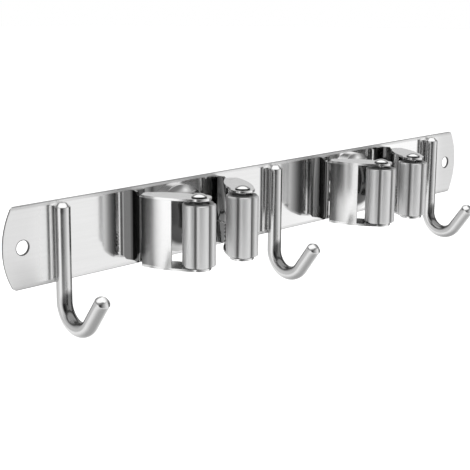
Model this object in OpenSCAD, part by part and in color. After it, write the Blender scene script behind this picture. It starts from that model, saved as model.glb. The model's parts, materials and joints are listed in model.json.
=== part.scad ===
// Wall rack with two sprung clips for broom handles and three J-hooks.
// X runs along the wall plate to the right, -Y points into the room, Z is up.
// The origin lies on the plate's back face, midway between its two screw holes.

/* [Wall plate] */
// Length of the plate over its bowed ends
plate_len = 350; // [340:1:480]
// Height of the plate
plate_h = 40; // [39:0.5:60]
// Sheet thickness of the plate
plate_t = 1.2; // [1:0.1:2.5]
// How far each end bows out past its corners
end_bow = 5.5; // [3:0.5:8]
// Rounding of the plate's corners
corner_r = 2.5; // [1:0.5:4]
// Diameter of the screw hole near each end
screw_d = 7; // [4:0.5:8]
// Distance from the tip of each end to its screw hole
screw_inset = 10.6; // [9:0.2:13]

/* [Hooks] */
// Distance from the tip of each end to the outer hook beside it
hook_inset = 31; // [28:0.5:34]
// Diameter of the hook rod
rod_d = 7.6; // [6:0.2:8]
// Distance from the top of each rod to the plate's top edge
hook_drop = 0.8; // [0.6:0.2:4]
// Length of the rod's straight upright
hook_upright = 48.4; // [45:0.2:59]
// Bend radius of the hook at the middle of the rod
hook_bend_r = 11.5; // [9:0.5:15]
// Angle through which the rod is bent
hook_bend = 144; // [130:2:160]
// Straight length at the hook's tip
hook_tip = 18; // [12:0.5:24]
// Chamfer on both ends of the rod
rod_chamfer = 2; // [0.5:0.1:2.4]
// Depth of the flat by which the rod is welded to the plate
rod_flat = 0.4; // [0.2:0.1:0.6]
// How much the straight tip is drawn thinner than the bend
tip_draw = 0.02; // [0.02:0.01:0.06]

/* [Clips] */
// Place of each clip between the middle hook and the outer one
clip_share = 0.486; // [0.47:0.002:0.5]
// Height of the clip arms over their flanges
arm_h = 36.4; // [34:0.2:39]
// Sheet thickness of the arms
arm_t = 1.2; // [0.8:0.1:1.6]
// Distance from an arm's pivot to its roller
arm_reach = 26; // [25:0.5:32]
// Angle by which the closed arms lean towards each other
arm_lean = 30; // [28:1:32]
// Greatest distance from the arm's middle line to the flange's outer edge
flange_outer_w = 7.3; // [7:0.1:8]
// Greatest distance from the arm's middle line to the flange's inner edge
flange_inner_w = 6.2; // [5.8:0.1:6.6]
// Distance from the pivot along the arm to the flange's widest place
flange_belly = 15; // [14:0.2:16]
// Rounding of the flange round the roller pin
flange_tip_r = 6.2; // [5.8:0.1:6.4]
// Rounding of the flange round the pivot pin
flange_heel_r = 3.2; // [2.9:0.1:3.4]
// How far the flange's edge stands proud of the web
flange_proud = 0.1; // [0.05:0.05:0.3]
// Distance from the arm's middle line to the web's back end
web_heel = 4.1; // [4:0.1:4.6]
// How far the web's back end lies behind the pivot
web_back = 2.6; // [2.2:0.1:2.8]
// Distance from the pivot along the arm to the end of the web
web_end = 14; // [12:0.2:15]

/* [Clip brackets] */
// Sheet thickness of the bracket
bracket_t = 1.2; // [0.8:0.1:1.6]
// Distance from the clip's middle to each wall's foot
wall_foot = 28.5; // [28:0.1:30]
// Length of each wall from its foot to beside its pivot
wall_len = 10.5; // [10:0.5:13]
// How far each wall ends short of its pivot
wall_short = 1.6; // [1.4:0.1:2]
// Angle by which the walls flare outwards
wall_flare = 20; // [18:1:22]
// Radius of the round boss that the handle rests against
boss_r = 17.6; // [15:0.2:18]
// Height of the boss at its middle
boss_h = 8.4; // [6:0.2:9]
// Height of the boss at its rim
boss_side = 3.4; // [2:0.2:4]
// Half height of the strip between the boss and the walls
strip_half_h = 9; // [7:0.5:12]
// Width of the full-height foot at each wall
foot_w = 6.5; // [5:0.5:8]
// Radius of the two bent-in ears round each pivot pin
ear_r = 3.1; // [2.9:0.1:3.2]

/* [Pins and rivets] */
// Diameter of the pivot pins
pivot_d = 3; // [2:0.2:3.2]
// Diameter of the roller pins
roller_pin_d = 4; // [3:0.2:5]
// Diameter of the domed head on the roller pins
pin_head_d = 7.9; // [6:0.1:10]
// Height of that domed head
pin_head_h = 1.9; // [1.2:0.1:2.6]
// Height of the upright rim of the roller pins' and rivets' heads
head_rim = 0.6; // [0.2:0.1:0.7]
// Diameter of the formed head under the arm
pin_foot_d = 6.2; // [5.4:0.1:8]
// Height of that formed head
pin_foot_h = 1.2; // [0.8:0.1:1.8]
// Diameter of the bracket rivets
rivet_d = 4; // [3:0.2:5]
// Diameter of the bracket rivets' heads
rivet_head_d = 7; // [5.4:0.2:7.4]
// Height of the bracket rivets' heads
rivet_head_h = 1.6; // [1:0.1:2.2]
// Distance between the two rivets of a bracket
rivet_pitch = 43.6; // [43:0.2:44]

/* [Rollers] */
// Outside diameter of the fluted rollers
roller_d = 17; // [14:0.2:18]
// Number of lobes round a roller
lobe_count = 6; // [5:1:8]
// Radius of each lobe
lobe_r = 4.4; // [4.1:0.1:4.8]
// Rounding of the lobes at both ends
roller_edge_r = 0.9; // [0.4:0.1:1.2]
// Diameter of the recess in each end
recess_d = 10.4; // [9:0.2:11]
// Depth of the recess in each end
recess_depth = 0.8; // [0.4:0.1:1.2]
// Turn of the left clip's rollers
left_roller_turn = 33; // [0:1:60]
// Turn of the right clip's rollers
right_roller_turn = 35; // [0:1:60]

/* [Springs] */
// Diameter of the spring wire
wire_d = 1; // [0.8:0.1:1.2]
// Radius of the coil at the middle of the wire
coil_r = 2.6; // [2.4:0.1:2.9]
// Number of turns in the coil
coil_turns = 4; // [3:1:4]
// Rise of the coil in one turn
coil_pitch = 1.9; // [1.7:0.1:2]
// Length of the leg that pushes the arm
arm_leg = 9; // [7:0.5:11]

/* [Clearances] */
// Radial running clearance of a roller on its pin
roller_fit = 0.08; // [0.02:0.01:0.1]
// Radial running clearance of a pivot pin in its ears
pivot_fit = 0.05; // [0.02:0.01:0.1]
// Gap between a roller's lower end and the flange under it
roller_low_gap = 0.5; // [0.4:0.1:1]
// Gap between a roller's upper end and the flange above it
roller_top_gap = 1.9; // [0.4:0.1:2.2]
// Gap between an ear and the flange beside it
ear_gap = 0.4; // [0.3:0.1:0.8]
// Gap between the coil and the wall beside it
coil_gap = 0.3; // [0.2:0.1:0.6]
// Gap between the coil and the ear under it
coil_ear_gap = 2; // [1.5:0.1:3]
// Gap round a spring leg in its hole
leg_gap = 0.25; // [0.2:0.05:0.4]
// Gap between a bracket wall's corner and the flange above it
notch_gap = 0.6; // [0.4:0.1:1]
// How far a rivet's tail stays under the plate's back
tail_recess = 0.2; // [0.1:0.05:0.4]

/* [Hidden] */

$fn = 96;
// Overrun of cutting tools past the faces that they open
over = 1;

// The two sides of the rack, and of a clip
left = -1;
right = 1;

// Plate: its corners, the arc of each end and the fillet between them
end_chord_half = plate_h / 2;
end_r = (pow(end_chord_half, 2) + pow(end_bow, 2)) / (2 * end_bow);
end_arc_x = plate_len / 2 - end_r;
fillet_y = end_chord_half - corner_r;
fillet_x = end_arc_x + sqrt(pow(end_r - corner_r, 2) - pow(fillet_y, 2));
tangent_y = fillet_y * end_r / (end_r - corner_r);
screw_x = plate_len / 2 - screw_inset;

// Hooks and clips share out the plate's length
hook_pitch = plate_len / 2 - hook_inset;
clip_x = clip_share * hook_pitch;

// Hooks: the rod stands on the plate's face by its welded flat
rod_r = rod_d / 2;
rod_y = rod_r - rod_flat;
rod_top_z = plate_h / 2 - hook_drop;
bend_z = rod_top_z - hook_upright;
tip_lap = sqrt(tip_draw * (hook_bend_r - rod_r));

// Clip arms: the flanges' inner faces and the two arcs that bound them
function arc_r(chord, rise) = (pow(chord, 2) + pow(rise, 2)) / (2 * rise);
arm_half_h = arm_h / 2;
flange_z = arm_half_h - arm_t;
outer_r = arc_r(flange_belly + web_back, flange_outer_w - web_heel);
inner_r = arc_r(flange_belly, flange_inner_w - flange_heel_r);
heel_sweep = norm([web_heel, web_back + flange_proud]);

// Bracket walls: the pivot stands inside them, with room for the coil
coil_outer_r = coil_r + wire_d / 2;
pivot_off = coil_outer_r + coil_gap + bracket_t;
pivot_u = wall_foot + wall_len * sin(wall_flare) - pivot_off * cos(wall_flare);
pivot_f = wall_len * cos(wall_flare) + pivot_off * sin(wall_flare);
ear_z = flange_z - ear_gap;
wall_top = wall_len - wall_short;
ear_root = wall_short + bracket_t / 4;
wall_root = bracket_t / 4;
foot_end = wall_foot + bracket_t / 2 * tan(wall_flare);
notch_half = sqrt(pow(heel_sweep + notch_gap, 2) - pow(pivot_off - bracket_t, 2));

// Rollers: six round lobes about the pin
roller_r = roller_d / 2;
roller_half_h = flange_z - (roller_top_gap + roller_low_gap) / 2;
roller_mid_z = (roller_low_gap - roller_top_gap) / 2;
lobe_ring_r = roller_r - lobe_r;

// Springs: one tube from the bracket's hole, round the pin, to the arm's hole
wire_r = wire_d / 2;
wire_sides = 6;
rings_per_turn = 8;
coil_sweep = 360 * coil_turns - arm_lean;
coil_rise = coil_pitch * coil_sweep / 360;
coil_steps = ceil(coil_sweep * rings_per_turn / 360);
leg_hole_r = wire_r + leg_gap;
leg_arm_z = bracket_t + coil_ear_gap + wire_r - ear_z;
leg_root_z = leg_arm_z + coil_rise;
leg_bend_z = leg_gap + wire_r - flange_z;
leg_end_z = arm_t - wire_r - arm_half_h;

steel_colour = "gainsboro";
satin_colour = "silver";
roller_colour = "darkgray";

// The outline of the wall plate, from true arcs
module plate_outline() {
  square([2 * fillet_x, plate_h], center = true);
  for (side = [left, right]) {
    for (rise = [-fillet_y, fillet_y])
      translate([side * fillet_x, rise]) circle(r = corner_r);
    intersection() {
      translate([side * end_arc_x, 0]) circle(r = end_r, $fn = 3 * $fn);
      translate([side * plate_len / 4, 0]) square([plate_len / 2, 2 * tangent_y], center = true);
    }
  }
}

// Turns a drawing in X and Z into a sheet that stands on the plane Y = 0
module sheet(thickness) {
  rotate([90, 0, 0]) linear_extrude(thickness) children();
}

module back_plate() {
  color(steel_colour) difference() {
    sheet(plate_t) plate_outline();
    for (side = [left, right])
      translate([side * screw_x, over, 0]) rotate([90, 0, 0])
        cylinder(d = screw_d, h = plate_t + 2 * over);
    for (side = [left, right]) at_clip(side) rivet_places()
      cylinder(d = rivet_d, h = 2 * (plate_t + bracket_t), center = true);
  }
}

// A round rod with a chamfered end, up from z = 0
module rod_end(length, radius) {
  cylinder(r = radius, h = length - rod_chamfer);
  translate([0, 0, length - rod_chamfer])
    cylinder(r1 = radius, r2 = radius - rod_chamfer, h = rod_chamfer);
}

// One J-hook: upright, bend and tip, welded to the plate along a flat
module j_hook(x) {
  color(satin_colour) translate([x, -plate_t, 0]) difference() {
    translate([0, -rod_y, bend_z]) {
      rod_end(hook_upright, rod_r);
      translate([0, -hook_bend_r, 0]) rotate([0, -90, 0]) rotate([0, 0, 90]) {
        rotate_extrude(angle = hook_bend) translate([hook_bend_r, 0]) circle(r = rod_r);
        rotate([0, 0, hook_bend]) translate([hook_bend_r, -tip_lap, 0]) rotate([-90, 0, 0])
          rod_end(hook_tip + tip_lap, rod_r - tip_draw);
      }
    }
    translate([-rod_d / 2, 0, -plate_h / 2 - over]) cube([rod_d, rod_d, plate_h + 2 * over]);
  }
}

module left_hook() { j_hook(-hook_pitch); }
module middle_hook() { j_hook(0); }
module right_hook() { j_hook(hook_pitch); }

// Places: a clip's middle on the plate's face, then the pivot of one of its arms
module at_clip(side) {
  translate([side * clip_x, -plate_t, 0]) children();
}

module handed(hand) {
  if (hand == right) mirror([1, 0, 0]) children();
  else children();
}

module at_pivot(hand) {
  handed(hand) translate([-pivot_u, -pivot_f, 0]) children();
}

// Along an arm, the pivot is the origin and the arm runs in -Y
module at_arm(hand) {
  at_pivot(hand) rotate([0, 0, arm_lean]) children();
}

module at_roller(hand) {
  at_arm(hand) translate([0, -arm_reach, 0]) children();
}

module rivet_places() {
  for (along = [-rivet_pitch / 2, rivet_pitch / 2])
    translate([along, 0, 0]) rotate([90, 0, 0]) children();
}

// The bracket's face on the plate: the strip and the full-height feet
module bracket_outline() {
  square([2 * wall_foot - foot_w, 2 * strip_half_h], center = true);
  for (side = [left, right])
    translate([side * (foot_end - foot_w / 2), 0]) square([foot_w, arm_h], center = true);
}

// One flared wall in its own plane: X runs out from the foot, Y is height
module wall_outline() {
  notch = wall_len - notch_half;
  shoulder = notch - (arm_half_h - ear_z);
  polygon([
    [wall_root, -arm_half_h],
    [shoulder, -arm_half_h],
    [notch, -ear_z],
    [wall_top, -ear_z],
    [wall_top, ear_z],
    [notch, ear_z],
    [shoulder, arm_half_h],
    [wall_root, arm_half_h]
  ]);
}

module bracket_wall() {
  translate([-wall_foot, 0, 0]) rotate([0, 0, -90 - wall_flare]) rotate([90, 0, 0])
    translate([0, 0, -bracket_t]) linear_extrude(bracket_t) wall_outline();
}

// A drum with a domed face, up from z = 0
module domed(width, height, rim) {
  cap_r = arc_r(width / 2, height - rim);
  intersection() {
    cylinder(d = width, h = height);
    translate([0, 0, height - cap_r]) sphere(r = cap_r);
  }
}

// Ears bent in from the wall's upper and lower edges, about the pivot
module ears() {
  for (base = [-ear_z, ear_z - bracket_t])
    translate([0, 0, base]) linear_extrude(bracket_t) rotate(-wall_flare) {
      circle(r = ear_r);
      polygon([
        [bracket_t / 2 - pivot_off, ear_root],
        [0, 0],
        [ear_r / 2, ear_r / 2],
        [bracket_t / 2 - pivot_off, ear_root + ear_r]
      ]);
    }
}

module clip_bracket(side) {
  color(steel_colour) at_clip(side) difference() {
    union() {
      sheet(bracket_t) bracket_outline();
      rotate([90, 0, 0]) domed(2 * boss_r, boss_h, boss_side);
      for (hand = [left, right]) {
        handed(hand) bracket_wall();
        at_pivot(hand) ears();
      }
    }
    translate([0, over, 0]) rotate([90, 0, 0])
      domed(2 * (boss_r - bracket_t), boss_h - bracket_t + over, boss_side - bracket_t + over);
    rivet_places() cylinder(d = rivet_d, h = 2 * (plate_t + bracket_t), center = true);
    for (hand = [left, right]) at_pivot(hand) {
      cylinder(d = pivot_d + 2 * pivot_fit, h = arm_h, center = true);
      translate([coil_r, pivot_f + over, leg_root_z]) rotate([90, 0, 0])
        cylinder(r = leg_hole_r, h = bracket_t + 2 * over);
    }
  }
}

module left_clip_bracket() { clip_bracket(left); }
module right_clip_bracket() { clip_bracket(right); }

module clip_rivets() {
  color(satin_colour) for (side = [left, right]) at_clip(side) rivet_places() {
    translate([0, 0, tail_recess - plate_t])
      cylinder(d = rivet_d, h = plate_t + bracket_t - tail_recess);
    translate([0, 0, bracket_t]) domed(rivet_head_d, rivet_head_h, head_rim);
  }
}

// The flange: a lens of two arcs, rounded at the pivot and at the roller
module flange_outline() {
  back = web_back + flange_proud;
  circle(r = flange_heel_r);
  translate([0, -arm_reach]) circle(r = flange_tip_r);
  intersection() {
    translate([outer_r - flange_outer_w, -flange_belly]) circle(r = outer_r, $fn = 3 * $fn);
    translate([flange_inner_w - inner_r, -flange_belly]) circle(r = inner_r, $fn = 2 * $fn);
    translate([-2 * flange_outer_w, -arm_reach]) square([4 * flange_outer_w, arm_reach + back]);
  }
}

// The web follows the flange's outer arc from behind the pivot to the window
module web_outline() {
  intersection() {
    translate([outer_r - flange_outer_w, -flange_belly]) difference() {
      circle(r = outer_r - flange_proud, $fn = 3 * $fn);
      circle(r = outer_r - flange_proud - arm_t, $fn = 3 * $fn);
    }
    translate([-2 * flange_outer_w, -web_end]) square([2 * flange_outer_w, web_end + web_back]);
  }
}

module clip_arm(side, hand) {
  color(steel_colour) at_clip(side) at_arm(hand) difference() {
    union() {
      for (base = [-arm_half_h, flange_z])
        translate([0, 0, base]) linear_extrude(arm_t) flange_outline();
      translate([0, 0, arm_t / 2 - arm_half_h]) linear_extrude(arm_h - arm_t) web_outline();
    }
    cylinder(d = pivot_d, h = 2 * arm_h, center = true);
    translate([0, -arm_reach, 0]) cylinder(d = roller_pin_d, h = 2 * arm_h, center = true);
    translate([coil_r, -arm_leg, -arm_half_h - over]) cylinder(r = leg_hole_r, h = arm_t + 2 * over);
  }
}

module left_clip_left_arm() { clip_arm(left, left); }
module left_clip_right_arm() { clip_arm(left, right); }
module right_clip_left_arm() { clip_arm(right, left); }
module right_clip_right_arm() { clip_arm(right, right); }

module pivot_pin(side, hand) {
  color(satin_colour) at_clip(side) at_arm(hand) cylinder(d = pivot_d, h = arm_h, center = true);
}

module left_clip_left_pivot_pin() { pivot_pin(left, left); }
module left_clip_right_pivot_pin() { pivot_pin(left, right); }
module right_clip_left_pivot_pin() { pivot_pin(right, left); }
module right_clip_right_pivot_pin() { pivot_pin(right, right); }

module roller_pin(side, hand) {
  color(satin_colour) at_clip(side) at_roller(hand) {
    cylinder(d = roller_pin_d, h = arm_h, center = true);
    translate([0, 0, arm_half_h]) domed(pin_head_d, pin_head_h, head_rim);
    translate([0, 0, -arm_half_h]) mirror([0, 0, 1]) domed(pin_foot_d, pin_foot_h, head_rim);
  }
}

module left_clip_left_roller_pin() { roller_pin(left, left); }
module left_clip_right_roller_pin() { roller_pin(left, right); }
module right_clip_left_roller_pin() { roller_pin(right, left); }
module right_clip_right_roller_pin() { roller_pin(right, right); }

// The lobes, cut to a rounded barrel
module fluted_roller(side, hand, turn) {
  color(roller_colour) at_clip(side) at_roller(hand) translate([0, 0, roller_mid_z])
    rotate([0, 0, turn]) difference() {
      intersection() {
        translate([0, 0, -roller_half_h]) linear_extrude(2 * roller_half_h) {
          circle(r = lobe_ring_r);
          for (i = [0 : lobe_count - 1])
            rotate(i * 360 / lobe_count) translate([lobe_ring_r, 0]) circle(r = lobe_r, $fn = 48);
        }
        union() {
          cylinder(r = roller_r, h = 2 * (roller_half_h - roller_edge_r), center = true);
          cylinder(r = roller_r - roller_edge_r, h = 2 * roller_half_h, center = true);
          for (rise = [roller_edge_r - roller_half_h, roller_half_h - roller_edge_r])
            translate([0, 0, rise]) rotate_extrude()
              translate([roller_r - roller_edge_r, 0]) circle(r = roller_edge_r, $fn = 48);
        }
      }
      cylinder(d = roller_pin_d + 2 * roller_fit, h = 2 * arm_h, center = true);
      for (face = [left, right])
        translate([0, 0, face * roller_half_h]) cylinder(d = recess_d, h = 2 * recess_depth, center = true);
    }
}

module left_clip_left_roller() { fluted_roller(left, left, left_roller_turn); }
module left_clip_right_roller() { fluted_roller(left, right, left_roller_turn); }
module right_clip_left_roller() { fluted_roller(right, left, right_roller_turn); }
module right_clip_right_roller() { fluted_roller(right, right, right_roller_turn); }

// The wire's middle line, about the pivot: root leg, coil, arm leg, hook
function coil_point(step) =
  let (turned = -coil_sweep * step / coil_steps)
  [coil_r * cos(turned), coil_r * sin(turned), leg_root_z - coil_rise * step / coil_steps];

function along_arm(reach, z) =
  [coil_r * cos(arm_lean) + reach * sin(arm_lean), coil_r * sin(arm_lean) - reach * cos(arm_lean), z];

wire_path = concat(
  [[coil_r, pivot_f - wire_r, leg_root_z], [coil_r, pivot_f - bracket_t - wire_d, leg_root_z]],
  [for (step = [0 : coil_steps]) coil_point(step)],
  [along_arm(arm_leg - wire_d, leg_bend_z), along_arm(arm_leg, leg_bend_z - wire_r)],
  [along_arm(arm_leg, leg_end_z)]
);

function unit(v) = v / norm(v);

// A ring of the tube, square to the path where it stands
function wire_ring(i) =
  let (
    ahead = wire_path[min(i + 1, len(wire_path) - 1)],
    behind = wire_path[max(i - 1, 0)],
    run = unit(ahead - behind),
    across = unit(cross(run, [wire_r, wire_d, 2 * wire_d])),
    rise = cross(run, across)
  )
  [for (k = [0 : wire_sides - 1])
    let (a = 360 * k / wire_sides)
    wire_path[i] + wire_r * (across * cos(a) + rise * sin(a))];

module spring_wire() {
  rings = len(wire_path);
  points = [for (i = [0 : rings - 1]) each wire_ring(i)];
  sides = [
    for (i = [0 : rings - 2])
      for (k = [0 : wire_sides - 1])
        let (
          a = i * wire_sides + k,
          b = i * wire_sides + (k + 1) % wire_sides,
          c = a + wire_sides,
          d = b + wire_sides
        )
        each [[a, b, d], [a, d, c]]
  ];
  last = (rings - 1) * wire_sides;
  caps = [
    for (k = [1 : wire_sides - 2])
      each [[0, k + 1, k], [last, last + k, last + k + 1]]
  ];
  polyhedron(points = points, faces = concat(sides, caps));
}

// The least gap between turns, from points a whole turn apart or more
wire_gap = min([
  for (i = [0 : len(wire_path) - 1])
    for (j = [i + rings_per_turn - 2 : 1 : len(wire_path) - 1])
      norm(wire_path[i] - wire_path[j]) - wire_d
]);
echo(least_gap_of_spring_wire = wire_gap);

module torsion_spring(side, hand) {
  color(satin_colour) at_clip(side) at_pivot(hand) spring_wire();
}

module left_clip_left_spring() { torsion_spring(left, left); }
module left_clip_right_spring() { torsion_spring(left, right); }
module right_clip_left_spring() { torsion_spring(right, left); }
module right_clip_right_spring() { torsion_spring(right, right); }

back_plate();
left_hook();
middle_hook();
right_hook();
left_clip_bracket();
right_clip_bracket();
clip_rivets();
left_clip_left_arm();
left_clip_right_arm();
right_clip_left_arm();
right_clip_right_arm();
left_clip_left_pivot_pin();
left_clip_right_pivot_pin();
right_clip_left_pivot_pin();
right_clip_right_pivot_pin();
left_clip_left_spring();
left_clip_right_spring();
right_clip_left_spring();
right_clip_right_spring();
left_clip_left_roller();
left_clip_right_roller();
right_clip_left_roller();
right_clip_right_roller();
left_clip_left_roller_pin();
left_clip_right_roller_pin();
right_clip_left_roller_pin();
right_clip_right_roller_pin();
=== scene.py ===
# %% [markdown]
# # A wall rack for brooms and mops
# A polished steel plate carries three bent rod hooks and two sprung clips. Each clip has two
# arms that turn on pins, and each arm ends in a fluted roller. The solids come packed, in
# metres, with -Y pointing into the room. This lesson dresses them: it gives the sheet its
# rounded edges, the rods and rollers their smooth curves, and every piece its own finish.
# Sizes are written in millimetres and turned into metres where they are used.

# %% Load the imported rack
import json
import math

import bmesh
import bpy
from mathutils import Matrix, Vector


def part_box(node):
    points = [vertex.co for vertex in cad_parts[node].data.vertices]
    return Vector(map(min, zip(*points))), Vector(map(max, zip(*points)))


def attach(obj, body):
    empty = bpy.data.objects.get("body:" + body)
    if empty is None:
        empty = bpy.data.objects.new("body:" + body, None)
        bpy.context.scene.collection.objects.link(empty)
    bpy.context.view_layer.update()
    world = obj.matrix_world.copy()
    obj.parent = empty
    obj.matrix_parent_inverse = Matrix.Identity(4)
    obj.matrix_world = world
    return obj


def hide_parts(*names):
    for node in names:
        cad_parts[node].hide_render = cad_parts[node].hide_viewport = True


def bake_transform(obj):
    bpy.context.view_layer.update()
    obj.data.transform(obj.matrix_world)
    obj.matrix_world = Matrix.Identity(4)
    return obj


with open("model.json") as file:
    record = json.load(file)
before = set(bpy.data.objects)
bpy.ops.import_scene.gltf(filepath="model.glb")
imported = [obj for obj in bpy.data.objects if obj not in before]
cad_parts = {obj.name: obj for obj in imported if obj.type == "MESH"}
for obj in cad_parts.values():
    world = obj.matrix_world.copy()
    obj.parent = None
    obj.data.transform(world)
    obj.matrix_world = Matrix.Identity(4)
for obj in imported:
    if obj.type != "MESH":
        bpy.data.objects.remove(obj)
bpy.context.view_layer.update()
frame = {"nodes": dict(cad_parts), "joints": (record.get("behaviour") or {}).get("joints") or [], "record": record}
MM = 0.001

# %% [markdown]
# ## Sums that write their own shader nodes
# A finish is a small calculation that runs at every point of a surface. Dragging its nodes by
# hand is slow to read later, so one class wraps a socket. Each sign in a Python sum then adds
# its Math node, and one method, node, makes every other kind.


# %% A shader value for Python sums
class Shade:
    """A socket that takes part in sums. Without a socket it only makes new nodes."""

    def __init__(self, tree, socket=None):
        self.tree = tree
        self.socket = socket

    def node(self, kind, settings=None, sockets=None, out=0):
        """Adds a node, sets it up, fills or links its sockets and gives one of its outputs."""
        made = self.tree.nodes.new(kind)
        for name, value in (settings or {}).items():
            if name == "stops":
                ramp = made.color_ramp
                while len(ramp.elements) < len(value):
                    ramp.elements.new(1.0)
                for element, (place, level) in zip(ramp.elements, value):
                    element.position = place
                    element.color = (level, level, level, 1.0)
            elif name == "blend":
                made.color_ramp.interpolation = value
            else:
                setattr(made, name, value)
        for name, value in (sockets or {}).items():
            if isinstance(value, Shade):
                self.tree.links.new(value.socket, made.inputs[name])
            else:
                made.inputs[name].default_value = value
        return Shade(self.tree, made.outputs[out])

    def math(self, operation, *terms):
        return self.node("ShaderNodeMath", {"operation": operation}, dict(enumerate(terms)))

    def __add__(self, other):
        return self.math("ADD", self, other)

    def __radd__(self, other):
        return self.math("ADD", other, self)

    def __sub__(self, other):
        return self.math("SUBTRACT", self, other)

    def __rsub__(self, other):
        return self.math("SUBTRACT", other, self)

    def __mul__(self, other):
        return self.math("MULTIPLY", self, other)

    def __rmul__(self, other):
        return self.math("MULTIPLY", other, self)

    def split(self):
        """The X, Y and Z of a vector."""
        parts = self.node("ShaderNodeSeparateXYZ", None, {"Vector": self}).socket.node.outputs
        return [Shade(self.tree, parts[axis]) for axis in "XYZ"]

    def spread(self, low, high):
        """0 below low, 1 above high, smooth between."""
        return self.node(
            "ShaderNodeMapRange",
            {"interpolation_type": "SMOOTHSTEP"},
            {"Value": self, "From Min": low, "From Max": high},
        )

    def tint(self, first, second):
        """A colour between two others, by this value."""
        return self.node(
            "ShaderNodeMix", {"data_type": "RGBA"}, {0: self, 6: first, 7: second}, out=2
        )


print("shader sums ready")

# %% [markdown]
# ## Tools for a finish
# Every finish starts from the same few things: the place on the piece, noise stretched along
# the grain, and a bump that bends the light. Small functions hold them, so that each recipe
# reads like a list of what the surface has. Places come in millimetres, like the sizes.


# %% Places, noise and bumps
def grey(level, warm=0.0):
    return (level + warm, level, level - warm, 1.0)


def stretch(place, factors):
    """A place with its lengths along X, Y and Z each multiplied by a factor."""
    return place.node("ShaderNodeVectorMath", {"operation": "MULTIPLY"}, {0: place, 1: factors})


def start_finish(name):
    """A new material, its shader, and the place on the piece in millimetres."""
    material = bpy.data.materials.new(name)
    material.use_nodes = True
    shader = material.node_tree.nodes["Principled BSDF"]
    metres = Shade(material.node_tree).node("ShaderNodeTexCoord", out="Object")
    return material, shader, stretch(metres, [1 / MM] * 3)


def feed(shader, **sockets):
    """Links values to the shader. An underscore in a socket's name stands for a space."""
    for name, value in sockets.items():
        value.tree.links.new(value.socket, shader.inputs[name.replace("_", " ")])


def noise(place, grain, detail=2.0, roughness=0.5):
    """Noise whose grain is given along X, Y and Z, in waves for each millimetre."""
    return place.node(
        "ShaderNodeTexNoise",
        None,
        {"Vector": stretch(place, grain), "Scale": 1.0, "Detail": detail, "Roughness": roughness},
    )


def bump(height, depth, under=None):
    """A normal bent by a height from 0 to 1, over a depth in millimetres, on another normal."""
    sockets = {"Strength": 1.0, "Distance": depth * MM, "Height": height}
    if under:
        sockets["Normal"] = under
    return height.node("ShaderNodeBump", None, sockets, out="Normal")


def size_of(value):
    return value.math("ABSOLUTE", value)


def off_axis(first, second):
    """How far a place lies from an axis, from its two lengths across that axis."""
    return first.math("SQRT", first * first + second * second)


print("tools for finishes ready")

# %% [markdown]
# ## Polished steel
# Rolled stainless sheet is ground and buffed along its length. What is left are faint lines that run with the
# grain, a slow waviness that bends reflections, and thin smears where hands have been. A plain metallic shader has
# none of them and looks too perfect. One recipe adds them for every steel piece, with its own grain for each. A
# mask can paint shade into the tone, and another can add roughness, where a piece calls for it.

# %% The steel recipe
SMEAR_GRAIN = (0.035, 0.05, 0.07)
WAVE_GRAIN = (0.03, 0.03, 0.05)
GRAIN_SPAN = (0.3, 0.75)
SMEAR_GREY = 0.05
SMEAR_WARMTH = 0.002
CLEAN_ROUGH_SHARE = 0.75
SMEAR_ROUGH_SHARE = 0.6


def polished_steel(
    name, bright, rough, grain, line_depth, wave_depth, dark=0.0, light_mask=None, dull_mask=None
):
    """Buffed steel. Its tone is dark where the light mask is 0, and the dull mask roughens it."""
    material, shader, place = start_finish(name)
    lines = noise(place, grain, detail=4.0, roughness=0.65)
    smear = noise(place, SMEAR_GRAIN, detail=3.0)
    waves = bump(noise(place, WAVE_GRAIN, detail=1.0), wave_depth)
    polish = (lines.spread(*GRAIN_SPAN) + smear) * 0.5
    tone = polish.tint(grey(bright), grey(bright - SMEAR_GREY, SMEAR_WARMTH))
    if light_mask:
        tone = light_mask(place).tint(grey(dark), tone)
    gloss = polish * (rough * SMEAR_ROUGH_SHARE) + rough * CLEAN_ROUGH_SHARE
    if dull_mask:
        gloss = gloss + dull_mask(place)
    feed(shader, Base_Color=tone, Roughness=gloss, Normal=bump(lines, line_depth, waves))
    shader.inputs["Metallic"].default_value = 1.0
    return material


print("steel recipe ready")

# %% [markdown]
# ## The plate's steel
# The plate's face is a mirror. Its bowed edges and the rims of its screw holes carry painted shade, and a painted
# dark line along each long edge is half as dark. The buffing wheel leaves the two ends and the long rims duller.
# The sheet is one mesh with one finish, so each of these comes from the place on the plate, and no face has to be
# picked by hand. A pair of values says where a mask starts and where it is full.

# %% Finish the plate
PLATE_HALF_LENGTH = 175.0
SCREW_INSET = 10.6
SCREW_X = PLATE_HALF_LENGTH - SCREW_INSET
HOLE_RIM = (3.75, 3.95)
CUT_BACK = (0.05, 0.2)
CUT_FRONT = (0.7, 0.95)
LONG_EDGE = (18.6, 19.4)
EDGE_LINE = (19.5, 19.75)
EDGE_LINE_TONE = 0.5
DULL_END = (142.0, 164.0)
DULL_RIM = (18.0, 18.8)
DULLNESS = 0.3


def painted_edge_shade(place):
    """Painted shade: 0 on the plate's cut ends and in its holes, 1 on its faces, and a painted dark line on its
    long edges.
    """
    x, y, z = place.split()
    front = 0 - y
    high = size_of(z)
    cut = front.spread(*CUT_BACK) * (1 - front.spread(*CUT_FRONT))
    edge = cut * (1 - high.spread(*LONG_EDGE)) + high.spread(*EDGE_LINE) * EDGE_LINE_TONE
    hole = 1 - off_axis(size_of(x) - SCREW_X, z).spread(*HOLE_RIM)
    return (1 - edge) * (1 - hole)


def worn_rims(place):
    """Extra roughness at the plate's two ends and along the rims of its long edges."""
    x, _, z = place.split()
    return (size_of(x).spread(*DULL_END) + size_of(z).spread(*DULL_RIM)) * DULLNESS


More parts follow.
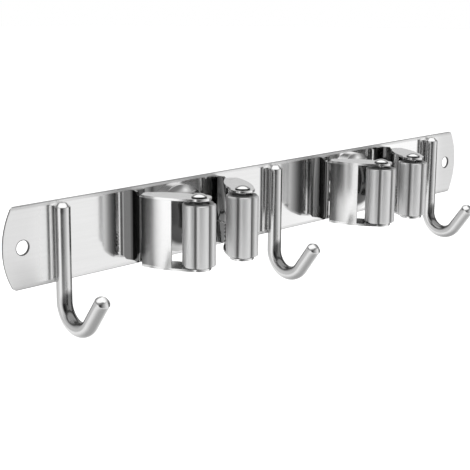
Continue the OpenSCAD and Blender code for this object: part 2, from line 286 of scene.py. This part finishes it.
plate_steel = polished_steel(
    "plate_steel",
    bright=0.93,
    rough=0.08,
    grain=(0.02, 1.2, 1.4),
    line_depth=0.0003,
    wave_depth=0.02,
    dark=0.15,
    light_mask=painted_edge_shade,
    dull_mask=worn_rims,
)
print("plate finish, screw holes at", SCREW_X, "mm from the middle")

# %% [markdown]
# ## The arms' steel
# An arm's web carries painted shade that darkens towards its heel, where it turns to the dark gap beside the
# plate, and its belly and flanges stay bright. Lamps alone can't shade all four arms alike, so the painted shade
# fades with the distance from the wall, and leaves the flanges out by their height.

# %% Finish the arms
FLANGE_START = (16.6, 17.2)
WEB_FADE = (10.0, 26.0)
SHEET_GRAIN = (0.25, 0.25, 3.0)


def painted_web_shade(place):
    """Painted shade: 0 at the heel of an arm's web, 1 at its belly and on the flanges."""
    _, y, z = place.split()
    flange = size_of(z).spread(*FLANGE_START)
    return flange + (1 - flange) * (0 - y).spread(*WEB_FADE)


arm_steel = polished_steel(
    "arm_steel",
    bright=0.92,
    rough=0.18,
    grain=SHEET_GRAIN,
    line_depth=0.0003,
    wave_depth=0.008,
    dark=0.12,
    light_mask=painted_web_shade,
)
print("arm finish, fading from", WEB_FADE[0], "to", WEB_FADE[1], "mm out")

# %% [markdown]
# ## The brackets' steel
# A bracket is pressed from one strip. Its boss keeps its bright tone round the rim and carries painted shade on
# the crown, where it shows the closed inside of the clip. Its flared walls carry painted shade, with a thin
# painted light line along them and lighter ends. The boss is round, so its mask is a distance from the clip's
# middle, which the frame gives.


# %% Finish the brackets
def middle_x(node):
    """Where the middle of a solid lies along the rack, in millimetres."""
    low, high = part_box(node)
    return (low.x + high.x) / 2 / MM


CLIP_X = middle_x("right_clip_bracket")
BOSS_RIM = (12.0, 15.5)
BOSS_END = (17.9, 18.3)
WALL_FOOT = (2.2, 3.4)
WALL_FOOT_TONE = 0.13
WALL_LINE_START = (6.6, 6.9)
WALL_LINE_END = (7.2, 7.5)
WALL_LINE_TONE = 0.25
WALL_TOP = (8.6, 8.9)
WALL_TOP_TONE = 0.8


def painted_boss_light(place):
    """Painted shade and light: 1 round the rim of a bracket's boss, 0 on its crown, and painted lines along its
    walls' ends.
    """
    x, y, z = place.split()
    reach = off_axis(size_of(x) - CLIP_X, z)
    beside = reach.spread(*BOSS_END)
    out = 0 - y
    past_line = out.spread(*WALL_LINE_END)
    line = out.spread(*WALL_LINE_START) * (1 - past_line)
    foot = out.spread(*WALL_FOOT) - past_line
    top = out.spread(*WALL_TOP)
    wall = foot * WALL_FOOT_TONE + line * WALL_LINE_TONE + top * WALL_TOP_TONE
    return reach.spread(*BOSS_RIM) * (1 - beside) + beside * wall


bracket_steel = polished_steel(
    "bracket_steel",
    bright=0.88,
    rough=0.12,
    grain=SHEET_GRAIN,
    line_depth=0.0006,
    wave_depth=0.01,
    dark=0.09,
    light_mask=painted_boss_light,
)
print("bracket finish, clips at", round(CLIP_X, 3), "mm from the middle")

# %% [markdown]
# ## The rods' steel
# The hooks are drawn rod, so their lines run along the upright. The inside of each bend carries painted shade. All
# three hooks share one bend as seen from the side, so the distance from its middle tells the inside from the
# outside.

# %% Finish the rods
ROD_Y = -4.6
BEND_R = 11.5
BEND_Z = -29.2
BEND_SHADE_SPAN = (8.2, 10.6)
BEND_SHADE_TONE = 0.15


def painted_bend_shade(place):
    """Painted shadow: nearly 0 inside a hook's bend, 1 elsewhere."""
    _, y, z = place.split()
    reach = off_axis(y - (ROD_Y - BEND_R), z - BEND_Z)
    return BEND_SHADE_TONE + reach.spread(*BEND_SHADE_SPAN) * (1 - BEND_SHADE_TONE)


rod_steel = polished_steel(
    "rod_steel",
    bright=0.82,
    rough=0.19,
    grain=(3.0, 3.0, 0.06),
    line_depth=0.0012,
    wave_depth=0.004,
    dark=0.10,
    light_mask=painted_bend_shade,
)
print("rod finish, bends of", BEND_R, "mm")

# %% [markdown]
# ## Steel for pins, rivets and wire
# Pins and rivets are turned, so their grain is fine and the same all ways. The rim of a roller pin's head lifts
# off the flange, and the shadow under it is painted as a dark line. That line is too thin for the studio's light
# to draw, so the finish holds it. Spring wire is greyer and less smooth.

# %% Finish the pins, rivets and wire
HEAD_LINE_START = (18.1, 18.2)
HEAD_LINE_END = (18.5, 18.95)
TURNED_GRAIN = (1.2, 1.2, 1.2)


def painted_head_shadow(place):
    """Painted shadow: 0 in the line under a pin's head, 1 elsewhere."""
    high = size_of(place.split()[2])
    return 1 - high.spread(*HEAD_LINE_START) * (1 - high.spread(*HEAD_LINE_END))


pin_steel = polished_steel(
    "pin_steel",
    bright=0.84,
    rough=0.16,
    grain=TURNED_GRAIN,
    line_depth=0.0012,
    wave_depth=0.003,
    dark=0.05,
    light_mask=painted_head_shadow,
)
rivet_steel = polished_steel(
    "rivet_steel", bright=0.90, rough=0.16, grain=TURNED_GRAIN, line_depth=0.0012, wave_depth=0.003
)
wire_steel = polished_steel(
    "wire_steel", bright=0.70, rough=0.22, grain=(2.0, 2.0, 2.0), line_depth=0.002, wave_depth=0.002
)
print("pin, rivet and wire finishes ready")

# %% [markdown]
# ## The roller's satin grip
# The rollers are silver grey and satin, with fine upright lines. They may be drawn metal or a plastic with metal
# in it, so the shader stands about half way between. The grooves carry painted shade and the crowns of the lobes
# are brighter and rubbed smoother, so the recipe measures how far each point lies from the roller's own axis.

# %% The grip recipe
ROLLER_R = 8.5
GROOVE_R = 6.9
GROOVE_SHADE_GREY = 0.24
CROWN_GREY = 0.82
GRIP_GRAIN = (2.4, 2.4, 0.05)
SPECK_GRAIN = (3.0, 3.0, 3.0)
GRIP_LINE_SHARE = 0.15
GRIP_SPECK_SHARE = 0.3
GRIP_ROUGH = 0.46
RUBBED_SMOOTH = 0.08
SPECK_ROUGH = 0.1
GRIP_DEPTH = 0.012
GRIP_METAL = 0.55


def roller_grip(name):
    """Satin grey, with painted shade in the grooves, and brighter and smoother on the crowns."""
    material, shader, place = start_finish(name)
    x, y, _ = place.split()
    crown = off_axis(x, y).spread(GROOVE_R, ROLLER_R)
    lines = noise(place, GRIP_GRAIN, detail=3.0, roughness=0.6)
    speck = noise(place, SPECK_GRAIN)
    shade = crown * (1 - GRIP_LINE_SHARE) + lines * GRIP_LINE_SHARE
    height = lines * (1 - GRIP_SPECK_SHARE) + speck * GRIP_SPECK_SHARE
    feed(
        shader,
        Base_Color=shade.tint(grey(GROOVE_SHADE_GREY), grey(CROWN_GREY)),
        Roughness=GRIP_ROUGH - crown * RUBBED_SMOOTH + (speck - 0.5) * SPECK_ROUGH,
        Normal=bump(height, GRIP_DEPTH),
    )
    shader.inputs["Metallic"].default_value = GRIP_METAL
    return material


grip_finish = roller_grip("grip_finish")
print("grip finish, brighter from", GROOVE_R, "to", ROLLER_R, "mm")

# %% [markdown]
# ## Helpers for making pieces
# A piece is a mesh that stands where its solid stands, rides on the same body and hides the
# plain solid. Curved pieces are swept or turned with many steps, because a polished surface
# shows every facet. Sheet keeps the solid's own shape with its sharp edges rolled over.

# %% Making pieces
record = frame["record"]
BODIES = {node: body for body, nodes in record["behaviour"]["bodies"].items() for node in nodes}


def new_piece(name, mesh, material, node, origin=Vector()):
    """Shows a mesh, built about an origin, in place of a solid."""
    mesh.materials.clear()
    mesh.materials.append(material)
    piece = bpy.data.objects.new(name, mesh)
    piece.location = origin
    bpy.context.scene.collection.objects.link(piece)
    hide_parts(node)
    return piece


def soften(piece, angle=32.0):
    """Smooth curves with crisp corners, kept in the mesh."""
    piece.data.set_sharp_from_angle(angle=math.radians(angle))


# %% Skins over rings
def circle(radius, sides):
    turns = [2 * math.pi * k / sides for k in range(sides)]
    return [(radius * math.cos(turn), radius * math.sin(turn)) for turn in turns]


def mesh_from(rings, loop=False):
    """A skin over rings of equal count, with closed ends or its last ring joined to its first."""
    made = bmesh.new()
    rows = [[made.verts.new(point) for point in ring] for ring in rings]
    count = len(rows[0])
    pairs = list(zip(rows, rows[1:]))
    if loop:
        pairs.append((rows[-1], rows[0]))
    for low, high in pairs:
        for i in range(count):
            j = (i + 1) % count
            made.faces.new((low[i], low[j], high[j], high[i]))
    if not loop:
        made.faces.new(list(reversed(rows[0])))
        made.faces.new(rows[-1])
    bmesh.ops.recalc_face_normals(made, faces=made.faces)
    mesh = bpy.data.meshes.new("skin")
    made.to_mesh(mesh)
    made.free()
    mesh.shade_smooth()
    return mesh


print("skins ready")

# %% [markdown]
# ## Hooks of bent rod
# Each hook is one rod, cut square with a broad chamfer, bent round a peg and welded flat to the
# plate. A sweep suits it: a circle travels down the upright, round the bend and up the tip, and
# shrinks at both ends for the chamfer. A curve object with a round bevel would be quicker, but
# it couldn't chamfer its ends or lie on the plate by a flat.

# %% The rod's path
ROD_R = 3.8
ROD_TOP = 19.2
BEND = math.radians(144)
TIP = 18.0
CHAMFER = 2.0
ROUND = 0.3
EASE = 0.2
CORE_R = 0.05
UPRIGHT_STEPS = 16
BEND_STEPS = 72
TIP_STEPS = 8

# How far from the rod's end, and how much is cut off its radius there.
END_CUTS = [
    (0.0, ROD_R - CORE_R),
    (0.0, CHAMFER + EASE),
    (0.4 * EASE, CHAMFER - 0.4 * EASE),
    (CHAMFER - EASE, EASE),
    (CHAMFER + 0.1 * EASE, 0.3 * EASE),
    (CHAMFER + ROUND, 0.0),
]


def hook_path():
    """Points (y, z), radii and turns of the rod, from its top to its tip."""
    upright = [(ROD_Y, ROD_TOP - away, ROD_R - cut, 0.0) for away, cut in END_CUTS]
    full_z = ROD_TOP - CHAMFER - ROUND
    for k in range(1, UPRIGHT_STEPS):
        upright.append((ROD_Y, full_z + (BEND_Z - full_z) * k / UPRIGHT_STEPS, ROD_R, 0.0))
    bend = []
    for k in range(BEND_STEPS + 1):
        turn = BEND * k / BEND_STEPS
        y = ROD_Y - BEND_R + BEND_R * math.cos(turn)
        bend.append((y, BEND_Z - BEND_R * math.sin(turn), ROD_R, turn))
    bend_y, bend_z = bend[-1][:2]

    def tip_ring(run, radius):
        return (bend_y - math.sin(BEND) * run, bend_z - math.cos(BEND) * run, radius, BEND)

    straight = TIP - CHAMFER - ROUND
    tip = [tip_ring(straight * k / TIP_STEPS, ROD_R) for k in range(1, TIP_STEPS + 1)]
    tip += [tip_ring(TIP - away, ROD_R - cut) for away, cut in reversed(END_CUTS[:-1])]
    return upright + bend + tip


print("rod path of", len(hook_path()), "rings")

# %% Sweep the hooks
PLATE_T = 1.2
ROD_SIDES = 64
WELD_LOW = -21.0


def hook_mesh(x):
    """The rod swept along its path, with a flat where it lies on the plate."""
    rings = []
    for y, z, radius, turn in hook_path():
        ring = []
        for across, out in circle(radius, ROD_SIDES):
            ring_y = y + out * math.cos(turn)
            ring_z = z - out * math.sin(turn)
            if ring_z > WELD_LOW:
                ring_y = min(ring_y, -PLATE_T)
            ring.append(Vector((x + across, ring_y, ring_z)) * MM)
        rings.append(ring)
    return mesh_from(rings)


for node in ("left_hook", "middle_hook", "right_hook"):
    hook = new_piece(node + "_rod", hook_mesh(middle_x(node)), rod_steel, node)
    soften(hook)
    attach(hook, BODIES[node])
    print(hook.name, len(hook.data.vertices), "points")

# %% [markdown]
# ## Rollers
# A roller is a short bar with six lobes, its ends rounded over, bored for its pin and sunk round
# the bore. Six cylinders could be joined and cut, but the outline is also one formula: the
# outside of six circles, with a thin groove pressed deeper where two lobes meet. Rings of that
# formula give clean edges for the light.

# %% The lobes' outline
LOBES = 6
LOBE_R = 4.4
LOBE_RING = ROLLER_R - LOBE_R
GROOVE_DEPTH = 0.7
GROOVE_WIDTH = math.radians(4.6)


def lobe_radius(angle):
    """How far the outline lies from the roller's axis, at an angle from a lobe's crown."""
    pitch = 2 * math.pi / LOBES
    off = (angle + pitch / 2) % pitch - pitch / 2
    from_groove = abs(off) - pitch / 2
    curve = LOBE_RING * math.cos(off) + math.sqrt(LOBE_R**2 - (LOBE_RING * math.sin(off)) ** 2)
    return curve - GROOVE_DEPTH * math.exp(-((from_groove / GROOVE_WIDTH) ** 2))


print("lobes from", round(lobe_radius(math.pi / LOBES), 2), "to", round(lobe_radius(0), 2), "mm")

# %% Loft the rollers
ROLLER_HALF = 15.8
ROLLER_MID = -0.7
ROLLER_EDGE = 0.9
EDGE_STEPS = 6
RECESS_R = 5.2
RECESS_EDGE = 0.2
RECESS_DEPTH = 0.8
BORE_R = 2.08
POINTS_PER_LOBE = 40
ROLLER_TURN = {"left_clip": 63.0, "right_clip": 65.0}
CLIPS = ("left_clip", "right_clip")
HANDS = ("left", "right")
ARMS = [(clip, hand) for clip in CLIPS for hand in HANDS]
AXES = {joint["name"]: Vector(joint["pos_m"]) for joint in frame["joints"]}

# The radius of each ring from a roller's end face into its bore, and how deep the ring lies.
RECESS = [
    (RECESS_R + RECESS_EDGE, 0.0),
    (RECESS_R, RECESS_EDGE),
    (RECESS_R, RECESS_DEPTH),
    (BORE_R, RECESS_DEPTH),
]


def roller_mesh(turn):
    """A roller about its own axis, with one lobe's crown at the turn."""
    count = LOBES * POINTS_PER_LOBE
    angles = [2 * math.pi * k / count for k in range(count)]

    def ring(radii, z):
        return [
            Vector((radius * math.cos(angle + turn), radius * math.sin(angle + turn), z)) * MM
            for angle, radius in zip(angles, radii)
        ]

    def end(sign):
        rows = []
        for k in range(EDGE_STEPS + 1):
            lean = math.pi / 2 * k / EDGE_STEPS
            cut = ROLLER_EDGE * (1 - math.cos(lean))
            rise = ROLLER_HALF - ROLLER_EDGE + ROLLER_EDGE * math.sin(lean)
            radii = [lobe_radius(angle) - cut for angle in angles]
            rows.append(ring(radii, ROLLER_MID + sign * rise))
        for radius, depth in RECESS:
            rows.append(ring([radius] * count, ROLLER_MID + sign * (ROLLER_HALF - depth)))
        return rows

    return mesh_from(list(reversed(end(-1))) + end(1), loop=True)


for clip, hand in ARMS:
    node = f"{clip}_{hand}_roller"
    turn = math.radians(ROLLER_TURN[clip])
    mesh = roller_mesh(turn if hand == "left" else -turn)
    roller = new_piece(f"{clip}_{hand}_grip", mesh, grip_finish, node, AXES[node + "_spin"])
    soften(roller, angle=40)
    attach(roller, BODIES[node])
    print(roller.name, len(roller.data.vertices), "points")

# %% [markdown]
# ## Pins and rivets
# The roller pins are rivets: a plain shank with a domed head above the arm and a smaller one
# formed below. The pivot pins are plain, with a broken edge at both ends. A lathe profile turned
# about the pin's axis gives the dome, with a rim that lifts off the sheet.

# %% The lathe
HEAD_RIM = 0.6
HEAD_EDGE = 0.3
DOME_STEPS = 12
POLE_R = 0.02
LATHE_SIDES = 48


def dome(width, height):
    """A head's profile from its underside to its crown, as (radius, rise)."""
    half = width / 2
    bulge = height - HEAD_RIM
    ball = (half**2 + bulge**2) / (2 * bulge)
    rows = [(half - HEAD_EDGE, 0.0), (half - 0.2 * HEAD_EDGE, 0.4 * HEAD_RIM), (half, HEAD_RIM)]
    top = math.asin(min(1.0, half / ball))
    for k in range(1, DOME_STEPS):
        lean = top * (1 - k / DOME_STEPS)
        rows.append((ball * math.sin(lean), height - ball + ball * math.cos(lean)))
    return rows + [(POLE_R, height)]


def lathe(profile):
    """A profile of (radius, z) turned about the Z axis."""
    return mesh_from(
        [[Vector((x, y, z)) * MM for x, y in circle(radius, LATHE_SIDES)] for radius, z in profile]
    )


print("lathe of", LATHE_SIDES, "sides")

# %% Turn the pins
ARM_HALF = 18.2
PIN_R = 2.0
PIN_HEAD = {"width": 7.9, "height": 1.9}
PIN_FOOT = {"width": 6.2, "height": 1.2}
PIVOT_R = 1.5
PIVOT_EDGE = 0.12


def roller_pin_mesh():
    head = [(radius, ARM_HALF + rise) for radius, rise in dome(**PIN_HEAD)]
    foot = [(radius, -ARM_HALF - rise) for radius, rise in reversed(dome(**PIN_FOOT))]
    return lathe(foot + [(PIN_R, -ARM_HALF), (PIN_R, ARM_HALF)] + head)


def pivot_pin_mesh():
    low = [
        (POLE_R, -ARM_HALF),
        (PIVOT_R - PIVOT_EDGE, -ARM_HALF),
        (PIVOT_R - 0.25 * PIVOT_EDGE, -ARM_HALF + 0.25 * PIVOT_EDGE),
        (PIVOT_R, -ARM_HALF + PIVOT_EDGE),
    ]
    return lathe(low + [(radius, -z) for radius, z in reversed(low)])


PINS = (
    ("_roller_pin", "_roller_spin", roller_pin_mesh, pin_steel),
    ("_pivot_pin", "_jaw_swing", pivot_pin_mesh, rivet_steel),
)
for clip, hand in ARMS:
    for kind, joint, make, finish in PINS:
        node = f"{clip}_{hand}{kind}"
        axis = AXES[f"{clip}_{hand}{joint}"]
        pin = new_piece(node + "_turned", make(), finish, node, axis)
        soften(pin)
        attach(pin, BODIES[node])
print("pins turned:", len(ARMS) * len(PINS))

# %% [markdown]
# ## Springs
# A torsion spring closes each arm. Its wire comes out of a hole in the bracket, winds round the pivot pin and ends
# in a hole in the arm. When the arm swings, the coil winds up. A tube over a list of points follows coil and legs
# alike, which a Screw modifier wouldn't.

# %% The wire's path
WIRE_R = 0.5
COIL_R = 2.6
COIL_TURNS = 4
COIL_PITCH = 1.9
COIL_LOW = -12.9
STEPS_PER_TURN = 28
ARM_LEAN = math.radians(30)
COIL_SWEEP = 2 * math.pi * COIL_TURNS - ARM_LEAN
COIL_RISE = COIL_PITCH * COIL_SWEEP / (2 * math.pi)
COIL_HIGH = COIL_LOW + COIL_RISE
TAIL = 2.4
ARM_LEG = 9.0
ARM_T = 1.2
LEG_GAP = 0.25
LEG_Z = LEG_GAP + WIRE_R + ARM_T - ARM_HALF

# Where the arm's leg bends down: how far short of the leg's end, and how far above the leg.
LEG_BEND = [(1.2, 0.1), (0.45, -0.02), (0.1, -0.35)]
# How far the leg's last two points lie above the flange's outer face.
LEG_FOOT = [0.9, 0.5]


def wire_path(pivot_depth):
    """The wire's middle line about the pivot of a left arm."""
    tail = [pivot_depth - WIRE_R, pivot_depth - TAIL]
    points = [Vector((COIL_R, y, COIL_HIGH)) for y in tail]
    steps = COIL_TURNS * STEPS_PER_TURN
    for k in range(steps + 1):
        turn = -COIL_SWEEP * k / steps
        z = COIL_HIGH - COIL_RISE * k / steps
        points.append(Vector((COIL_R * math.cos(turn), COIL_R * math.sin(turn), z)))
    out = Vector((math.sin(ARM_LEAN), -math.cos(ARM_LEAN), 0))
    side = Vector((math.cos(ARM_LEAN), math.sin(ARM_LEAN), 0)) * COIL_R
    for short, rise in LEG_BEND:
        points.append(side + out * (ARM_LEG - short) + Vector((0, 0, LEG_Z + rise)))
    for rise in LEG_FOOT:
        points.append(side + out * ARM_LEG + Vector((0, 0, rise - ARM_HALF)))
    return points


print("coil of", COIL_TURNS, "turns,", round(COIL_RISE, 2), "mm high")

# %% Wind the springs
WIRE_SIDES = 14


def tube(points, radius):
    """A skin round a line of points, which carries its own side along so that it never twists."""
    rings = []
    across = None
    for i, point in enumerate(points):
        run = (points[min(i + 1, len(points) - 1)] - points[max(i - 1, 0)]).normalized()
        if across is None:
            across = run.orthogonal()
        across = (across - run * across.dot(run)).normalized()
        rise = run.cross(across)
        rings.append([(point + across * x + rise * y) * MM for x, y in circle(radius, WIRE_SIDES)])
    return mesh_from(rings)


for clip, hand in ARMS:
    name = f"{clip}_{hand}"
    axis = AXES[name + "_jaw_swing"]
    mesh = tube(wire_path(-axis.y / MM - PLATE_T), WIRE_R)
    if hand == "right":
        mesh.transform(Matrix.Diagonal((-1, 1, 1, 1)))
        mesh.flip_normals()
    mesh.transform(Matrix.Translation(axis))
    spring = new_piece(name + "_spring_wire", mesh, wire_steel, name + "_spring")
    soften(spring, angle=60)
    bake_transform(spring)
    print(spring.name, len(spring.data.vertices), "points")

# %% [markdown]
# ## Sheet pieces
# Plate, brackets and arms are cut from sheet, and no cut edge is knife sharp: it is tumbled
# or polished over. The solids already have the right outlines, so each copy only loses the
# flat joints between its triangles and gets its corners rolled by a Bevel modifier, which finds
# them by their angle. The rivets of the brackets are treated the same way.

# %% Roll the edges of the sheet
SAME_POINT = 0.002
FLAT_ANGLE = math.radians(0.6)
CORNER_ANGLE = math.radians(40)
ROLL_SEGMENTS = 3
PLATE_ROLL = 0.42
BRACKET_ROLL = 0.32
ARM_ROLL = 0.42
RIVET_ROLL = 0.1


def rolled_copy(node, material, roll):
    """Shows a copy of a solid with its flat faces whole and its corners rolled."""
    mesh = frame["nodes"][node].data.copy()
    work = bmesh.new()
    work.from_mesh(mesh)
    bmesh.ops.remove_doubles(work, verts=work.verts, dist=SAME_POINT * MM)
    bmesh.ops.dissolve_limit(work, angle_limit=FLAT_ANGLE, verts=work.verts, edges=work.edges)
    work.to_mesh(mesh)
    work.free()
    piece = new_piece(node + "_sheet", mesh, material, node)
    bevel = piece.modifiers.new("rolled edge", "BEVEL")
    bevel.width = roll * MM
    bevel.segments = ROLL_SEGMENTS
    bevel.limit_method = "ANGLE"
    bevel.angle_limit = CORNER_ANGLE
    piece.data.shade_smooth()
    soften(piece, angle=30)
    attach(piece, BODIES[node])
    print(piece.name, len(piece.data.polygons), "faces, corners rolled by", roll, "mm")


rolled_copy("back_plate", plate_steel, PLATE_ROLL)
for clip in CLIPS:
    rolled_copy(clip + "_bracket", bracket_steel, BRACKET_ROLL)
    for hand in HANDS:
        rolled_copy(f"{clip}_{hand}_arm", arm_steel, ARM_ROLL)
rolled_copy("clip_rivets", rivet_steel, RIVET_ROLL)

# %% [markdown]
# ## The studio's room
# Polished metal shows the room more than itself, so the room decides where rods and bent sheet
# get their dark and light bands. Lamps and cards could be set up for that, but it is easier to
# paint the room on the sky by direction: a ramp of greys goes once round the walls, and layers
# add what lies above and below. A dark gap runs under a bright ceiling panel, and the pale ground
# darkens straight below. The camera sees a plain white backdrop.

# %% Walls by direction
scene = bpy.context.scene
scene.view_settings.view_transform = "Standard"
scene.view_settings.look = "None"

# A ramp's colours end at 1, so the room is painted as shares of this strength.
ROOM_STRENGTH = 1.5

# Degrees from straight in front of the rack, to the right, and how bright the wall is there.
WALLS = [
    (-180, 0.58),
    (-150, 0.58),
    (-124, 0.66),
    (-106, 0.92),
    (-95, 1.10),
    (-76, 1.10),
    (-69, 0.66),
    (-63, 0.12),
    (-57, 0.03),
    (-41, 0.03),
    (-28, 0.13),
    (-12, 0.36),
    (10, 0.60),
    (26, 0.86),
    (38, 0.90),
    (45, 0.92),
    (50, 1.10),
    (54, 1.06),
    (60, 0.66),
    (70, 0.25),
    (84, 0.06),
    (112, 0.25),
    (145, 0.52),
    (180, 0.58),
]

world = bpy.data.worlds.new("studio_room")
scene.world = world
world.use_nodes = True
sky = Shade(world.node_tree)
east, north, up = sky.node("ShaderNodeTexCoord", out="Generated").split()
around = sky.math("ARCTAN2", east, 0 - north) * (1 / (2 * math.pi)) + 0.5
glow = sky.node(
    "ShaderNodeValToRGB",
    {
        "stops": [(degrees / 360 + 0.5, level / ROOM_STRENGTH) for degrees, level in WALLS],
        "blend": "EASE",
    },
    {"Fac": around},
    out="Color",
)
print("walls of", len(WALLS), "greys")

# %% Layers above and below
BACKDROP = 1.0

# Each layer's mask, by the sines of the angles where it starts and is full, and how bright it is.
down = 0 - up
layers = {
    "upper wall behind the rack": (up.spread(0.02, 0.14) * north.spread(-0.2, 0.3), 0.63),
    "gap under the ceiling": (up.spread(0.40, 0.55), 0.18),
    "ceiling panel": (up.spread(0.64, 0.80), 1.275),
    "ground": (down.spread(0.27, 0.4), 0.96),
    "straight below": (down.spread(0.5, 1.0), 0.42),
}
for mask, level in layers.values():
    glow = mask.tint(glow, grey(level / ROOM_STRENGTH))
seen = sky.node("ShaderNodeLightPath", out="Is Camera Ray")
shown = seen.tint(glow, grey(BACKDROP / ROOM_STRENGTH))
background = world.node_tree.nodes["Background"]
background.inputs["Strength"].default_value = ROOM_STRENGTH
feed(background, Color=shown)
print("room layers:", list(layers))

# %% [markdown]
# ## Floor
# The floor is a plain pale disc well below the rack. It glows a little, so that it stays as white
# as the backdrop, and it is left out of reflections, which the room's ground already gives.

# %% Lay the floor
FLOOR_Z = -300.0
FLOOR_R = 6000.0

bpy.ops.mesh.primitive_circle_add(
    vertices=96, radius=FLOOR_R * MM, fill_type="NGON", location=(0, 0, FLOOR_Z * MM)
)
floor = bpy.context.object
floor.name = "floor"
floor_paint = bpy.data.materials.new("floor_paint")
floor_paint.use_nodes = True
floor_shader = floor_paint.node_tree.nodes["Principled BSDF"]
floor_shader.inputs["Base Color"].default_value = grey(0.85)
floor_shader.inputs["Roughness"].default_value = 0.9
floor_shader.inputs["Emission Color"].default_value = grey(1.0)
floor_shader.inputs["Emission Strength"].default_value = 0.6
floor.data.materials.append(floor_paint)
floor.visible_glossy = False
print("floor at", FLOOR_Z, "mm")

# %% [markdown]
# ## Camera
# The photograph was taken from the rack's left and from a little above. The camera's place and
# lens were found by lining up the plate's corners and holes, and a small roll and shift frame it.

# %% Set the camera
CAMERA_AT = Vector((-446.7, -436.9, 136.1))
CAMERA_TO = Vector((-26.78, 0.0, 9.07))
CAMERA_ROLL = math.radians(0.48)

camera_data = bpy.data.cameras.new("camera")
camera_data.sensor_width = 36.0
camera_data.lens = 86.85
camera_data.shift_y = -0.1
camera_data.clip_start = 0.01
camera = bpy.data.objects.new("camera", camera_data)
scene.collection.objects.link(camera)
camera.location = CAMERA_AT * MM
look = (CAMERA_TO - CAMERA_AT).to_track_quat("-Z", "Y").to_matrix()
camera.rotation_euler = (look @ Matrix.Rotation(CAMERA_ROLL, 3, "Z")).to_euler()
scene.camera = camera
print("camera", [round(c, 3) for c in camera.location])
